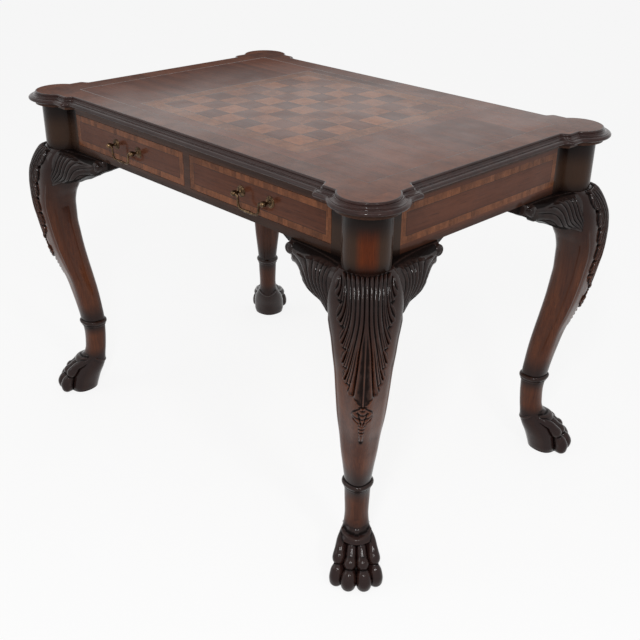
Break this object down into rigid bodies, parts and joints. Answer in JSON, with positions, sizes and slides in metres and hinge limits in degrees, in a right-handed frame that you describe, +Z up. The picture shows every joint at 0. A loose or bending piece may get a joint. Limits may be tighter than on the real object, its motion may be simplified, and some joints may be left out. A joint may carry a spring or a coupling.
{
  "type": "inlaid game table",
  "caption": "Rectangular inlaid game table with turret corners, drawers under a chequered top, round corner columns and carved cabriole legs on paw feet.",
  "frame": {"origin": "on the floor under the middle of the table", "axes": "+X along the long side, drawers open towards -Y, +Z up"},
  "size_m": [1.0976, 0.7646, 0.762],
  "materials": {
    "mahogany": "polished red-brown mahogany veneer",
    "dark_mahogany": "polished dark mahogany",
    "crossband": "polished figured crossbanding",
    "stringing": "polished black line",
    "light_square": "polished mottled burr veneer",
    "dark_square": "polished dark veneer",
    "plain_wood": "plain planed secondary wood",
    "brass": "antique dark brass",
    "steel": "plain steel wood screw"
  },
  "bodies": {
    "table": {"top_core": "plain_wood", "top_edge_moulding": "dark_mahogany", "top_underframe": "dark_mahogany", "border_crossband": "crossband", "border_stringing": "stringing", "field_veneer": "mahogany", "board_frame_band": "crossband", "board_stringing": "stringing", "light_squares": "light_square", "dark_squares": "dark_square", "front_top_rail": "dark_mahogany", "front_bottom_rail": "dark_mahogany", "drawer_divider": "dark_mahogany", "back_apron": "mahogany", "left_apron": "mahogany", "right_apron": "mahogany", "apron_crossbands": "crossband", "apron_stringing": "stringing", "corner_post_front_right": "dark_mahogany", "corner_post_front_left": "dark_mahogany", "corner_post_back_right": "dark_mahogany", "corner_post_back_left": "dark_mahogany", "leg_front_right": "dark_mahogany", "leg_front_left": "dark_mahogany", "leg_back_right": "dark_mahogany", "leg_back_left": "dark_mahogany", "knee_brackets_front_right": "dark_mahogany", "knee_brackets_front_left": "dark_mahogany", "knee_brackets_back_right": "dark_mahogany", "knee_brackets_back_left": "dark_mahogany", "corner_blocks": "plain_wood", "leg_dowels": "plain_wood", "drawer_runners": "plain_wood", "drawer_kickers": "plain_wood", "drawer_guides": "plain_wood", "drawer_stops": "plain_wood", "top_screws": "steel"},
    "drawer_left": {"drawer_left_front": "mahogany", "drawer_left_sides": "plain_wood", "drawer_left_back": "plain_wood", "drawer_left_bottom": "plain_wood", "drawer_left_crossband": "crossband", "drawer_left_stringing": "stringing", "handle_left_rosettes": "brass", "handle_left_posts": "brass", "handle_left_nuts": "brass"},
    "bail_left": {"handle_left_bail": "brass"},
    "drawer_right": {"drawer_right_front": "mahogany", "drawer_right_sides": "plain_wood", "drawer_right_back": "plain_wood", "drawer_right_bottom": "plain_wood", "drawer_right_crossband": "crossband", "drawer_right_stringing": "stringing", "handle_right_rosettes": "brass", "handle_right_posts": "brass", "handle_right_nuts": "brass"},
    "bail_right": {"handle_right_bail": "brass"}
  },
  "joints": [
    {"name": "drawer_left_slide", "type": "slide", "parent": "table", "child": "drawer_left", "axis": [0, -1, 0], "range_m": [0, 0.3]},
    {"name": "bail_left_swing", "type": "hinge", "parent": "drawer_left", "child": "bail_left", "pos_m": [-0.2029, -0.3295, 0.68715], "axis": [-1, 0, 0], "range_deg": [-28, 150]},
    {"name": "drawer_right_slide", "type": "slide", "parent": "table", "child": "drawer_right", "axis": [0, -1, 0], "range_m": [0, 0.3]},
    {"name": "bail_right_swing", "type": "hinge", "parent": "drawer_right", "child": "bail_right", "pos_m": [0.2029, -0.3295, 0.68715], "axis": [-1, 0, 0], "range_deg": [-28, 150]}
  ]
}
